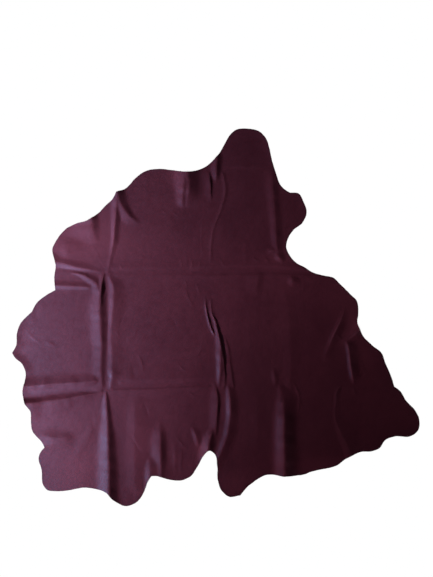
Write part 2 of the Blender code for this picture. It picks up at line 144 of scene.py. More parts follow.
# The main folds in millimetres, a row for each place where a crest turns or changes height. A fold's
# two sides are on the left and on the right of someone who walks its rows from first to last.
Place = namedtuple("Place", "x y height left right")
FOLDS = {
    "left fold, hind": [
        Place(-624, -1126, 16.5, 92, 66),
        Place(-627, -990, 16.5, 94, 66),
        Place(-629, -843, 15.5, 92, 60),
        Place(-636, -680, 12.5, 70, 48),
        Place(-639, -600, 9, 52, 34),
        Place(-642, -520, 6.5, 42, 26),
        Place(-649, -442, 3, 28, 14),
    ],
    "left fold, middle, near ridge": [
        Place(-671, -407, 3.5, 110, 24),
        Place(-676, -340, 6.5, 84, 36),
        Place(-676, -250, 7.5, 80, 38),
        Place(-674, -150, 8.5, 84, 40),
        Place(-678, -47, 11, 86, 48),
        Place(-685, 89, 12.5, 80, 54),
        Place(-689, 160, 10, 58, 46),
        Place(-702, 194, 7.5, 54, 42),
        Place(-720, 213, 6, 50, 38),
        Place(-750, 231, 5, 40, 30),
        Place(-784, 249, 4.5, 30, 18),
        Place(-822, 260, 3, 18, 12),
        Place(-862, 262, 0, 10, 10),
    ],
    "left fold, middle, far ridge": [
        Place(-622, -414, 2.5, 26, 40),
        Place(-611, -348, 7.5, 38, 84),
        Place(-611, -290, 5.5, 42, 90),
        Place(-612, -200, 4.5, 38, 90),
        Place(-618, -117, 3.5, 30, 80),
        Place(-612, -5, 5.5, 32, 84),
        Place(-604, 89, 8, 42, 90),
        Place(-606, 183, 7, 40, 76),
        Place(-628, 240, 3, 20, 40),
    ],
    "left fold, fore": [
        Place(-640, 260, 1.4, 18, 20),
        Place(-624, 349, 3, 22, 30),
        Place(-614, 400, 4.5, 22, 34),
        Place(-604, 455, 7.5, 22, 38),
        Place(-598, 526, 9, 28, 40),
        Place(-590, 602, 10.5, 38, 42),
        Place(-584, 700, 11, 42, 46),
        Place(-580, 773, 11.5, 42, 44),
    ],
    "shoulder branch": [
        Place(-587, 800, 14.5, 60, 60),
        Place(-574, 712, 14, 60, 72),
        Place(-553, 656, 11, 54, 78),
        Place(-514, 602, 7.5, 38, 66),
        Place(-450, 549, 0, 24, 36),
    ],
    "side pleat": [
        Place(-695, 440, 0, 60, 30),
        Place(-716, 478, 4, 120, 44),
        Place(-728, 526, 10, 170, 52),
        Place(-730, 561, 12.5, 190, 54),
        Place(-742, 614, 15.5, 200, 54),
    ],
    "side swell": [
        Place(-840, 300, 0, 70, 130),
        Place(-870, 360, 5, 110, 160),
        Place(-880, 420, 5, 120, 160),
        Place(-880, 480, 0, 110, 120),
    ],
    "side wrinkle, fore": [
        Place(-991, 331, 9, 74, 46),
        Place(-938, 324, 9, 74, 44),
        Place(-893, 316, 8.5, 70, 40),
        Place(-844, 302, 7, 60, 34),
        Place(-795, 291, 5, 50, 26),
        Place(-745, 284, 3, 36, 18),
        Place(-680, 268, 0.5, 22, 14),
    ],
    "side wrinkle, hind": [
        Place(-991, 188, 4.5, 40, 28),
        Place(-861, 184, 5, 38, 28),
        Place(-791, 180, 5, 36, 24),
        Place(-752, 176, 3.5, 32, 16),
    ],
    "rump cross fold, fore ridge": [
        Place(-1168, -408, 11, 70, 52),
        Place(-1068, -404, 11, 70, 50),
        Place(-979, -396, 10, 66, 50),
        Place(-891, -390, 9, 66, 48),
        Place(-773, -382, 8, 60, 48),
        Place(-714, -375, 6.5, 58, 46),
        Place(-684, -369, 3, 40, 36),
    ],
    "rump cross fold, hind ridge": [
        Place(-1204, -508, 18.5, 42, 150),
        Place(-1068, -504, 16.5, 40, 150),
        Place(-979, -492, 14, 41, 130),
        Place(-891, -482, 12, 40, 110),
        Place(-808, -466, 8.5, 32, 80),
        Place(-743, -455, 6, 22, 60),
        Place(-667, -441, 2, 12, 30),
    ],
    "neck fold": [
        Place(0, 800, 1, 18, 16),
        Place(0, 835, 8, 34, 30),
        Place(1, 890, 12, 44, 42),
        Place(5, 945, 8, 36, 42),
        Place(10, 985, 0, 24, 24),
    ],
    "neck crease": [
        Place(-32, 325, 1, 16, 16),
        Place(-15, 526, 2, 16, 18),
        Place(27, 638, 3, 16, 20),
        Place(53, 738, 3.5, 18, 26),
        Place(41, 844, 2, 16, 24),
    ],
    "back pleat": [
        Place(-196, 640, 0, 36, 30),
        Place(-198, 695, 11.5, 52, 60),
        Place(-193, 745, 15.5, 62, 80),
        Place(-187, 797, 18, 78, 90),
        Place(-182, 844, 19, 94, 100),
        Place(-178, 903, 19, 98, 100),
    ],
    "back pleat, edge": [
        Place(-178, 645, 0, 24, 30),
        Place(-169, 695, 10, 50, 80),
        Place(-162, 745, 15, 64, 84),
        Place(-158, 797, 19, 70, 88),
        Place(-166, 844, 20.5, 74, 92),
        Place(-162, 903, 20.5, 74, 92),
    ],
    "middle fold, fore": [
        Place(20, -400, 4, 28, 40),
        Place(23, -342, 9, 30, 46),
        Place(28, -253, 11.5, 38, 46),
        Place(27, -200, 10.5, 42, 34),
        Place(22, -150, 4.5, 30, 20),
        Place(14, -80, 0, 20, 14),
    ],
    "middle fold, fore, step": [
        Place(50, -395, 5, 46, 20),
        Place(50, -330, 7.5, 46, 17),
        Place(45, -253, 9, 42, 15),
        Place(29, -165, 11, 44, 15),
        Place(13, -90, 8.5, 32, 13),
        Place(-6, -20, 6, 18, 14),
        Place(-24, 20, 3.5, 15, 12),
        Place(-31, 101, 1.2, 12, 10),
    ],
    "middle fold, hind, near ridge": [
        Place(-13, -719, 3, 34, 32),
        Place(-3, -660, 7, 50, 24),
        Place(5, -580, 8.5, 58, 22),
        Place(8, -500, 9, 60, 24),
        Place(2, -430, 5, 44, 18),
        Place(-10, -380, 0, 24, 14),
    ],
    "middle fold, hind, far ridge": [
        Place(-15, -884, 6, 26, 60),
        Place(33, -784, 10, 34, 64),
        Place(68, -684, 11.5, 38, 66),
        Place(84, -578, 11.5, 37, 64),
        Place(83, -477, 11, 35, 60),
        Place(73, -398, 3, 24, 40),
    ],
    "notch fold": [
        Place(-51, -843, 18, 64, 46),
        Place(-46, -766, 18, 62, 52),
        Place(-38, -715, 15, 52, 50),
        Place(-22, -672, 7.5, 38, 28),
        Place(-12, -640, 0, 26, 12),
    ],
    "tail ridge": [
        Place(-324, -1002, 11, 54, 52),
        Place(-324, -890, 11, 56, 50),
        Place(-324, -813, 12.5, 78, 48),
        Place(-326, -725, 10.5, 82, 46),
        Place(-330, -620, 0, 44, 36),
    ],
    "tail edge": [
        Place(-384, -1010, 10, 58, 190),
        Place(-386, -935, 10, 56, 190),
        Place(-388, -885, 9, 50, 180),
        Place(-390, -850, 4.5, 40, 130),
        Place(-398, -815, 0, 30, 60),
    ],
    "right fold, fore": [
        Place(362, 340, 0.9, 31, 29),
        Place(361, 378, 4.5, 36, 46),
        Place(354, 449, 7.5, 38, 53),
        Place(348, 555, 7.5, 41, 53),
        Place(339, 673, 8, 50, 53),
        Place(331, 803, 7, 53, 53),
        Place(326, 900, 0, 41, 41),
    ],
    "right fold, hind": [
        Place(404, -1008, 23, 70, 110),
        Place(400, -813, 27, 72, 112),
        Place(396, -666, 27, 70, 104),
        Place(398, -548, 19, 66, 100),
        Place(390, -460, 8, 44, 110),
        Place(378, -407, 2, 26, 36),
    ],
    "flank fold, fore": [
        Place(636, -265, 0, 26, 60),
        Place(658, -188, 6, 28, 64),
        Place(686, -117, 9.5, 26, 60),
        Place(725, -35, 9.5, 26, 56),
        Place(764, 50, 0, 22, 34),
    ],
    "flank fold, edge": [
        Place(772, -140, 5.5, 40, 40),
        Place(814, -100, 15, 44, 50),
        Place(870, -38, 18.5, 48, 50),
    ],
    "flank fold, hind": [
        Place(814, -396, 0, 14, 40),
        Place(801, -350, 11, 18, 80),
        Place(796, -320, 15.5, 20, 80),
        Place(785, -240, 13, 18, 80),
        Place(775, -165, 10, 20, 70),
        Place(760, -115, 1, 16, 40),
    ],
    "hip pleat": [
        Place(-1097, -330, 0.5, 34, 44),
        Place(-1121, -300, 1.6, 38, 56),
        Place(-1156, -256, 2, 38, 56),
        Place(-1200, -205, 1.6, 38, 50),
    ],
}

# The finer folds, which are too slight for the solid
FINE_FOLDS = {
    "left fold, inner lip": [
        Place(-678, 65, 9, 40, 26),
        Place(-676, 160, 12, 38, 24),
        Place(-671, 213, 8, 34, 20),
        Place(-662, 251, 3, 26, 14),
    ],
    "shoulder cross fold": [
        Place(-637, 292, 1, 40, 22),
        Place(-330, 293, 1, 60, 24),
        Place(-24, 301, 1.2, 60, 24),
        Place(142, 307, 1.7, 60, 26),
        Place(378, 301, 2.4, 50, 26),
        Place(555, 281, 2.4, 40, 24),
    ],
    "shoulder cross fold, hind ridge": [
        Place(-637, 248, 0.9, 20, 50),
        Place(-330, 248, 0.8, 20, 60),
        Place(-24, 246, 1.6, 22, 60),
        Place(142, 246, 1.9, 22, 60),
        Place(378, 251, 2.4, 22, 50),
        Place(543, 242, 2, 20, 40),
    ],
    "back cross fold, fore ridge": [
        Place(-637, -371, 1.4, 90, 36),
        Place(-560, -368, 3, 120, 38),
        Place(-389, -365, 2.4, 110, 36),
        Place(-94, -359, 1.6, 90, 30),
        Place(-30, -357, 0, 40, 20),
    ],
    "back cross fold, hind ridge": [
        Place(-643, -434, 1.4, 14, 40),
        Place(-560, -430, 2.4, 16, 60),
        Place(-389, -427, 2.2, 16, 60),
        Place(-212, -418, 2, 15, 50),
        Place(-24, -409, 1, 12, 30),
    ],
    "crossing knot, fore": [
        Place(350, 374, 1, 30, 28),
        Place(362, 361, 8, 48, 34),
        Place(378, 345, 7.5, 48, 34),
        Place(396, 326, 1, 30, 28),
    ],
    "crossing knot, middle": [
        Place(300, 385, 0, 30, 24),
        Place(335, 392, 5, 40, 30),
        Place(372, 380, 1, 30, 24),
    ],
    "crossing knot, hind": [
        Place(446, 176, 0, 34, 44),
        Place(448, 220, 7.5, 42, 70),
        Place(438, 250, 1, 34, 40),
    ],
    "neck fold, lower": [
        Place(-28, 680, 0, 26, 10),
        Place(-31, 726, 4.6, 40, 13),
        Place(-34, 790, 5.8, 44, 14),
        Place(-38, 832, 4.6, 40, 14),
        Place(-42, 865, 0, 24, 12),
    ],
    "neck cross crease": [
        Place(35, 889, 0.6, 50, 24),
        Place(124, 889, 1.5, 50, 24),
        Place(272, 887, 1.2, 40, 20),
        Place(325, 886, 0.5, 30, 14),
    ],
    "middle fold, twin": [
        Place(-6, -112, 1.5, 14, 10),
        Place(-17, -88, 6, 15, 10),
        Place(-31, -58, 5.5, 16, 12),
        Place(-45, -14, 5, 15, 10),
        Place(-56, 40, 4.5, 14, 10),
        Place(-62, 95, 2.2, 12, 9),
        Place(-66, 130, 0, 10, 8),
    ],
    "middle fold, lip": [
        Place(48, -100, 0, 12, 14),
        Place(66, -165, 3, 15, 36),
        Place(80, -253, 3, 15, 50),
        Place(92, -342, 4, 16, 70),
        Place(99, -395, 4, 16, 60),
        Place(104, -436, 0, 12, 30),
    ],
    "notch crease": [
        Place(-98, -770, 0, 24, 30),
        Place(-108, -735, 4, 28, 40),
        Place(-118, -700, 5.5, 28, 44),
        Place(-145, -637, 0, 18, 24),
    ],
    "right fold, middle": [
        Place(436, -383, 4, 52, 60),
        Place(440, -194, 3.5, 66, 80),
        Place(425, 42, 2.4, 66, 80),
        Place(401, 160, 0.6, 50, 60),
    ],
    "right fold, crossing": [
        Place(351, -418, 0, 20, 20),
        Place(345, -353, 5, 28, 40),
        Place(336, -289, 0, 20, 30),
    ],
    "right fold, side crease": [
        Place(481, -560, 1, 16, 16),
        Place(490, -489, 2, 16, 18),
        Place(472, -418, 2, 16, 18),
        Place(440, -359, 0.5, 12, 12),
    ],
    "flank fold, last": [
        Place(800, -830, 13, 50, 110),
        Place(758, -725, 8.5, 40, 100),
        Place(730, -670, 5.5, 30, 90),
        Place(704, -610, 2.4, 18, 50),
        Place(700, -560, 1.8, 14, 40),
        Place(705, -500, 3.5, 18, 40),
        Place(714, -430, 3.5, 16, 30),
        Place(735, -405, 1.8, 12, 20),
        Place(761, -408, 0, 10, 12),
    ],
    "hip pleat, fore": [
        Place(-1036, -84, 0, 40, 22),
        Place(-1062, -41, 0.4, 46, 30),
        Place(-1086, 1, 0.6, 50, 34),
        Place(-1106, 48, 0.7, 50, 36),
    ],
    "hip pleat, middle": [
        Place(-1215, -156, 0.8, 48, 60),
        Place(-1156, -162, 0.7, 46, 58),
        Place(-1109, -173, 0.3, 36, 40),
        Place(-1068, -190, 0, 24, 24),
    ],
    "rump dent": [
        Place(-1068, -712, 3, 50, 80),
        Place(-1010, -704, 6, 60, 90),
        Place(-950, -712, 8, 64, 90),
        Place(-900, -712, 7, 60, 80),
        Place(-830, -700, 0, 44, 50),
    ],
    "rump dent, edge": [
        Place(-1050, -778, 5, 14, 60),
        Place(-968, -752, 3.5, 14, 60),
        Place(-909, -731, 2, 14, 50),
        Place(-861, -716, 0, 12, 40),
    ],
    "tail dome": [
        Place(-478, -430, 0, 120, 60),
        Place(-476, -520, 3.4, 130, 66),
        Place(-478, -760, 4, 130, 70),
        Place(-478, -980, 4.2, 120, 70),
    ],
    "belly swell": [
        Place(242, -430, 0, 70, 60),
        Place(242, -560, 2.4, 80, 66),
        Place(244, -700, 2.0, 80, 66),
        Place(246, -800, 0, 70, 60),
    ],
}

# Creases in millimetres, grouped by the panel that they lie on. Each is a ridge where its height is
# above 0 and a trough where it is below, and it dies out at both ends.
Crease = namedtuple("Crease", "height left right start middle end")
CREASES = {
    "hind quarter": [
        Crease(1.6, 16, 12, (-1127, -64), (-1086, -118), (-1020, -156)),
        Crease(1.3, 12, 22, (-1018, -138), (-965, -160), (-920, -182)),
        Crease(0.8, 9, 12, (-920, -153), (-861, -188), (-802, -176)),
        Crease(-1.4, 16, 16, (-914, -920), (-897, -935), (-879, -943)),
        Crease(-1.6, 14, 12, (-743, -985), (-726, -1002), (-714, -1020)),
        Crease(2.2, 40, 34, (-850, -855), (-755, -707), (-684, -578)),
        Crease(-1.2, 20, 24, (-738, -548), (-720, -637), (-702, -725)),
    ],
    "tail panel": [
        Crease(-0.9, 8, 12, (-507, -684), (-472, -749), (-437, -808)),
        Crease(-0.9, 8, 12, (-431, -489), (-407, -548), (-395, -607)),
        Crease(-1.2, 10, 16, (-271, -519), (-183, -560), (-124, -607)),
        Crease(1.2, 12, 14, (-165, -436), (-142, -457), (-112, -471)),
        Crease(1.2, 10, 12, (-242, -690), (-206, -743), (-159, -790)),
        Crease(2.2, 30, 14, (-245, -725), (-245, -831), (-242, -938)),
        Crease(1.6, 12, 26, (-206, -725), (-204, -831), (-206, -938)),
        Crease(-1.4, 10, 14, (-112, -631), (-71, -672), (-47, -707)),
    ],
    "back panel": [
        Crease(1.4, 9, 20, (-189, 213), (-165, 124), (-124, 48)),
        Crease(1.3, 20, 8, (-120, 207), (-108, 166), (-91, 113)),
        Crease(1.1, 9, 9, (-192, 225), (-175, 198), (-167, 148)),
        Crease(-1.1, 9, 9, (-32, 181), (-28, 143), (-24, 107)),
        Crease(-0.8, 8, 12, (-254, -5), (-236, -47), (-224, -82)),
        Crease(1, 10, 12, (-230, -265), (-195, -306), (-153, -324)),
        Crease(1, 14, 10, (-77, -141), (-94, -194), (-124, -253)),
        Crease(-0.8, 8, 12, (-502, 101), (-543, 12), (-578, -76)),
        Crease(0.9, 10, 10, (-466, -64), (-478, -94), (-490, -123)),
        Crease(-0.8, 8, 10, (-531, -106), (-528, -135), (-525, -165)),
        Crease(0.8, 8, 10, (-590, -76), (-578, -100), (-566, -123)),
        Crease(1.6, 14, 16, (-466, -206), (-437, -277), (-425, -330)),
        Crease(-1.4, 22, 22, (-490, -277), (-484, -318), (-484, -365)),
        Crease(1.2, 18, 18, (-578, -383), (-560, -383), (-543, -383)),
        Crease(1, 16, 16, (-206, -377), (-195, -377), (-183, -377)),
    ],
    "shoulder panel": [
        Crease(0.9, 8, 12, (-732, 437), (-690, 360), (-655, 290)),
        Crease(-4, 12, 13, (-938, 291), (-829, 277), (-716, 259)),
        Crease(-0.8, 8, 10, (-702, 349), (-678, 313), (-655, 278)),
        Crease(0.9, 8, 10, (-566, 313), (-560, 296), (-555, 278)),
        Crease(0.8, 8, 8, (-442, 366), (-434, 355), (-425, 343)),
        Crease(1, 12, 10, (-330, 644), (-307, 623), (-283, 602)),
        Crease(1, 12, 10, (-260, 632), (-242, 611), (-224, 591)),
        Crease(-2.6, 40, 36, (-248, 596), (-212, 555), (-177, 520)),
        Crease(0.9, 12, 9, (-74, 596), (-86, 508), (-84, 372)),
        Crease(0.8, 9, 9, (-84, 372), (-96, 308), (-108, 266)),
        Crease(-0.9, 9, 12, (-91, 526), (-91, 408), (-91, 290)),
        Crease(0.8, 9, 9, (-209, 343), (-203, 314), (-201, 290)),
        Crease(0.8, 9, 9, (-148, 361), (-142, 307), (-153, 284)),
        Crease(0.9, 10, 9, (-24, 492), (-32, 425), (-28, 361)),
        Crease(-0.7, 9, 9, (-159, 396), (-159, 343), (-159, 290)),
        Crease(1, 10, 10, (18, 360), (35, 325), (53, 290)),
    ],
    "neck panel": [
        Crease(1.2, 22, 26, (171, 478), (177, 384), (171, 290)),
        Crease(1.4, 14, 14, (212, 355), (236, 337), (260, 325)),
        Crease(1.4, 12, 14, (283, 355), (301, 337), (319, 319)),
    ],
    "belly side": [
        Crease(4.5, 42, 80, (256, 290), (243, 201), (236, 113)),
        Crease(-1.4, 22, 26, (171, 54), (186, 1), (201, -58)),
        Crease(1.8, 18, 20, (525, 201), (513, 172), (502, 142)),
        Crease(-1.8, 30, 34, (543, 172), (543, 101), (531, 30)),
        Crease(2, 26, 26, (844, -253), (867, -306), (891, -359)),
        Crease(1.6, 14, 14, (708, -100), (726, -117), (743, -135)),
        Crease(2, 18, 20, (802, -401), (814, -436), (826, -477)),
        Crease(3, 44, 40, (1097, -536), (1133, -572), (1186, -613)),
    ],
}

# Where the cut edge stands up from the floor, in millimetres: the place, how high, and how far round
Lift = namedtuple("Lift", "x y height reach")
LIFTS = [
    Lift(312, 1010, 4.5, 95),  # neck
    Lift(20, 950, 2.5, 60),  # neck, at its fold
    Lift(520, 640, 2.0, 70),  # fore shank
    Lift(850, -40, 2.5, 80),  # shoulder
    Lift(1190, -600, 3.0, 80),  # flank
    Lift(80, -1045, 2.5, 80),  # hind lobe
    Lift(-560, -1100, 3.0, 90),  # tail lobe
    Lift(-1090, -570, 3, 120),  # rump
    Lift(-1150, -380, 4, 120),  # rump, fore
    Lift(-1180, -210, 5, 90),  # hip tip
    Lift(-1170, -60, 4, 90),  # hip
    Lift(-945, 420, 2.5, 80),  # side
]
LIFT_WIDTH = 60 * MM  # of the strip that rises towards the cut edge
RUFFLE = Wave(1.2 * MM, 120 * MM)  # lifts that the edge has everywhere
RUFFLE_SEED = 8
SETTLED = 0.3 * MM  # how softly the sheet meets the floor

# Soft patches of painted shade (depth above 0), darker where folds and panels fall in shade, and of
# painted light (below 0), paler where they catch the light. In millimetres: the middle of a patch and how far
# it reaches.
Patch = namedtuple("Patch", "x y across along depth")
PAINTED_LIGHT_AND_SHADE = [
    Patch(-1020, -320, 150, 150, 0.8),  # behind the hip
    Patch(-1000, -40, 180, 220, 0.4),  # hip
    Patch(-684, -324, 90, 200, 0.4),  # groin
    Patch(-604, -900, 70, 260, 0.95),  # foot of the left fold
    Patch(-850, 490, 260, 190, -1.3),  # side flap
    Patch(-814, -902, 130, 150, -0.6),  # rump
    Patch(-466, -725, 100, 210, -0.5),  # tail panel
    Patch(-80, -785, 40, 60, -1.2),  # over the notch fold
    Patch(-330, 396, 260, 160, -0.35),  # shoulder
    Patch(-270, 750, 50, 60, 0.6),  # foot of the back pleat, near side
    Patch(75, 70, 90, 130, -0.35),  # back, fore
    Patch(-545, -270, 80, 110, 0.35),  # back, hind
    Patch(189, 986, 200, 200, 0.5),  # neck
    Patch(-50, 830, 110, 130, 0.5),  # between neck and back
    Patch(-205, 590, 90, 110, 0.5),  # foot of the back pleat
    Patch(-240, 800, 60, 150, -0.9),  # over the back pleat
    Patch(210, 632, 150, 160, 0.5),  # behind the neck
    Patch(350, 330, 120, 60, -0.7),  # where the right fold crosses the shoulder
    Patch(400, 190, 90, 90, -0.5),  # behind that crossing
    Patch(70, 560, 60, 160, 0.5),  # beside the neck crease
    Patch(55, -880, 80, 60, 0.9),  # hind lobe, by the notch
    Patch(60, -760, 50, 110, 0.6),  # foot of the notch fold
    Patch(271, -312, 300, 320, 0.8),  # far belly
    Patch(280, -700, 170, 220, 0.9),  # far hind quarter
    Patch(372, -780, 44, 270, -1.3),  # over the right fold
    Patch(555, -666, 180, 190, 0.6),  # far flank
    Patch(705, -380, 90, 220, 0.5),  # under the flank fold
    Patch(790, 60, 110, 150, -0.5),  # cut edge of the shoulder
    Patch(673, 160, 200, 120, -0.4),  # far shoulder
    Patch(885, -253, 110, 130, -0.7),  # far flank, fore
    Patch(850, -30, 60, 60, -1.0),  # over the flank fold
    Patch(640, -870, 200, 60, -0.8),  # cut edge of the belly
    Patch(1145, -578, 200, 160, -0.8),  # far shank
]

# How the leather's colour and gloss follow its shape
BEND_REACH = 7 * MM  # how far round a point its bend is taken
FULL_BEND = 1.6 * MM  # height over that reach at which a crest is fully worn
WORN_WIDTH = 9 * MM  # of the strip along the cut edge that handling has darkened
GRAIN, FLESH, CUT = range(3)  # the materials' order on the mesh
CLOUD = 260 * MM  # of the dye, across
MOTTLE = 34 * MM
PEBBLE = 3.5 * MM  # real grain is 1 to 1.5 mm across, drawn coarser so that it shows
PEBBLE_DEPTH = 0.16 * MM
GROWTH_WRINKLE = (75 * MM, 22 * MM, 1)  # length and width
GROWTH_DEPTH = 0.6 * MM
GROWTH_TURN = math.radians(62)  # of the growth wrinkles, from across the hide
MOTTLE_DEPTH = 0.8 * MM
NAP_PATCH = 90 * MM  # of fibres brushed one way, on the flesh side
NAP_FIBRE = 6 * MM  # real fibres are under 1 mm, drawn coarser so that they show
NAP_DEPTH = 0.5 * MM
CUT_FIBRE = 4 * MM  # drawn coarser likewise
CUT_DEPTH = 0.4 * MM

# The grain side's dye and gloss. A span runs from one end of a noise's useful range to the other.
MOTTLE_SHARE = 0.45  # of the dye's unevenness, beside its cloudiness
WRINKLE_SHARE = 0.25
DYE_SPAN = (0.55, 1.15)  # from the deep dye to the thin
MOTTLE_SPAN = (0.3, 0.7)
ROUGHNESS = (0.49, 0.59)  # over the mottle's span
TONE_GLOSS = -0.06  # a dark patch is a little glossier
WORN_GLOSS = -0.04  # and so is a rubbed crest

# What changes the grain side's colour, in the order in which it is laid on: its cause, the amounts
# of that at which the change starts and is full, its greatest share and its colour
Change = namedtuple("Change", "cause start full most colour")
CHANGES = {
    "worn": Change("bend", 0.1, 1, 0.45, "#7a4354"),  # crests, rubbed paler
    "painted_crease_shade": Change("bend", -0.1, -1, 0.55, "#2a0c15"),  # painted shade in the creases
    "handled": Change("edge", 0, 1, 0.3, "#2f101a"),  # the strip beside the cut edge
    # the next two are painted shade and painted light, laid by the soft patches
    "dark": Change("painted_light_and_shade", 0, 1, 0.45, "#331019"),
    "pale": Change("painted_light_and_shade", 0, -1, 0.5, "#6a2c3a"),
}

# The flesh side's shade
FIBRE_SHARE = 0.5  # beside its brushed patches
NAP_SPAN = (0.5, 1.0)

DOWN = (0, 0, -1)

# The studio. Key and gloss stand in one place, low at the lower left as seen from above: key lights
# only the leather's colour, and gloss shows only in its shine.
Softbox = namedtuple("Softbox", "place aim width height spread power colour")  # spread in degrees
SOFTBOXES = {
    "key": Softbox((-7.2, -3.4, 2.8), (0.668, 0.412, -0.62), 1.9, 1.5, 42, 570, (1.0, 1.0, 1.0)),
    "gloss": Softbox((-7.2, -3.4, 2.8), (0.257, 0.472, -0.843), 2.2, 1.1, 93, 7900, (0.44, 0.66, 0.88)),
    "room": Softbox((0, 0, 4), DOWN, 6, 6, 180, 22, (1.0, 1.0, 1.0)),
}
FLOOR_WASH = 3.45  # strength of the sun that lights the floor alone
FLOOR_WASH_PLACE = (0, 0, 3)
FLOOR_WASH_SPREAD = math.radians(60)
FILL_STRENGTH = 0.02  # of the studio's walls, as a light
WALL_STRENGTH = 0.95  # of the studio's walls, as they are seen
FLOOR_SIZE = 40  # metres
FLOOR_LEVEL = -0.3 * MM  # just under the leather, so that the two don't share a plane
CAMERA_PLACE = (0.003, 0.169, 3.31)
LENS = 35  # millimetres
SENSOR = 36


def smooth_rows(rows, step, corners=(), closed=False):
    """Runs a table's rows together into one smooth curve, with a row at about every step along it.

    The first two columns are x and y, and the others change smoothly with them. The curve has a
    corner at each row that corners lists.
    """
    rows = np.array(rows, dtype=float)
    chord = np.roll(rows, -1, axis=0) - rows
    length = np.hypot(chord[:, 0], chord[:, 1])[:, None]
    after = chord / length
    before = np.roll(after, 1, axis=0)
    length_before = np.roll(length, 1, axis=0)
    leaving = (before * length + after * length_before) / (length + length_before)
    reaching = leaving.copy()
    last = len(rows) - 1
    ends = () if closed else (0, last)
    for corner in (*corners, *ends):
        leaving[corner] = after[corner]
        reaching[corner] = before[corner]
    found = []
    for i in range(len(rows) if closed else last):
        j = (i + 1) % len(rows)
        count = max(1, round(length[i, 0] / step))
        t = np.arange(count)[:, None] / count
        found.append(
            rows[i] * (2 * t**3 - 3 * t**2 + 1)
            + leaving[i] * length[i] * (t**3 - 2 * t**2 + t)
            + rows[j] * (3 * t**2 - 2 * t**3)
            + reaching[j] * length[i] * (t**3 - t**2)
        )
    if not closed:
        found.append(rows[last:])
    return np.concatenate(found)


def cloud(points, size, seed):
    """Smooth noise from about -1 to 1 at each point, in lumps about size across."""
    return np.array([noise.noise((x / size, y / size, seed)) for x, y in points[:, :2].tolist()])


def waves(points, kinds, seed):
    """Heights of several kinds of wave laid over each other."""
    return sum(
        kind.height * cloud(points, kind.size, seed + KIND_SEED_STEP * n) for n, kind in enumerate(kinds)
    )


def sideways(path):
    """The unit vector to the left of a path at each of its points."""
    run = np.gradient(path[:, :2], axis=0)
    return np.column_stack([-run[:, 1], run[:, 0]]) / np.hypot(*run.T)[:, None]


def edge_loop():
    """The cut edge before it was handled, as a closed loop of points, clockwise seen from above."""
    points = []
    corners = []
    for stretch in EDGE:
        if stretch.start == CORNER:
            corners.append(len(points))
        points.extend(stretch.points)
    return smooth_rows(np.array(points) * MM, EDGE_STEP, corners, closed=True)


def fold_crests():
    """The crest of every fold, as uneven as leather leaves it, with its height and widths in metres."""
    crests = []
    for seed, places in enumerate([*FOLDS.values(), *FINE_FOLDS.values()]):
        crest = smooth_rows(np.array(places) * MM, PATH_STEP)
        line = crest[:, :2].copy()
        crest[:, 0] += WANDER * cloud(line, WANDER_SIZE, seed + WANDER_X_SEED)
        crest[:, 1] += WANDER * cloud(line, WANDER_SIZE, seed + WANDER_Y_SEED)
        crest[:, 2] *= 1 + SWELLING * cloud(line, SWELLING_SIZE, seed + SWELLING_SEED)
        crest[:, 2] = np.maximum(crest[:, 2], 0)
        crests.append(crest)
    return crests


def crease_crests():
    """The line of every crease, which rises from nothing and dies out again, in metres."""
    crests = []
    for rows in CREASES.values():
        for crease in rows:
            sides = (crease.left, crease.right)
            places = [
                (*crease.start, 0, *sides), (*crease.middle, crease.height, *sides), (*crease.end, 0, *sides),
            ]
            crests.append(smooth_rows(np.array(places) * MM, PATH_STEP))
    return crests


FOLD_CRESTS = fold_crests()
CREASE_CRESTS = crease_crests()


def side_profile(share):
    """Height of a fold's side, from 1 at its crest to 0 at its foot and beyond."""
    share = np.clip(share, 0, 1)
    round_top = np.where(share < CREST_ROUND, share**2 / (2 * CREST_ROUND), share - CREST_ROUND / 2)
    run_out = np.maximum(share - (1 - FOOT_ROUND), 0) ** 2 / (2 * FOOT_ROUND)
    return 1 - (round_top - run_out) / (1 - CREST_ROUND / 2 - FOOT_ROUND / 2)


def fold_height(crest, points):
    """Height that one fold gives each point, from the nearest place on its crest."""
    reach = crest[:, 3:].max()
    low = crest[:, :2].min(axis=0) - reach
    high = crest[:, :2].max(axis=0) + reach
    near = np.flatnonzero(((points > low) & (points < high)).all(axis=1))
    height = np.zeros(len(points))
    if not len(near):
        return height
    start = crest[:-1, :2]
    run = np.diff(crest[:, :2], axis=0)
    away = points[near, None] - start
    along = np.clip((away * run).sum(axis=2) / (run**2).sum(axis=1), 0, 1)
    away = away - along[..., None] * run
    distance = np.hypot(away[..., 0], away[..., 1])
    nearest = distance.argmin(axis=1)
    each = np.arange(len(near))
    along = along[each, nearest, None]
    away = away[each, nearest]
    run = run[nearest]
    place = Place(*(crest[nearest] * (1 - along) + crest[nearest + 1] * along).T)
    on_left = run[:, 0] * away[:, 1] - run[:, 1] * away[:, 0] > 0
    width = np.where(on_left, place.left, place.right)
    height[near] = place.height * side_profile(distance[each, nearest] / width)
    return height


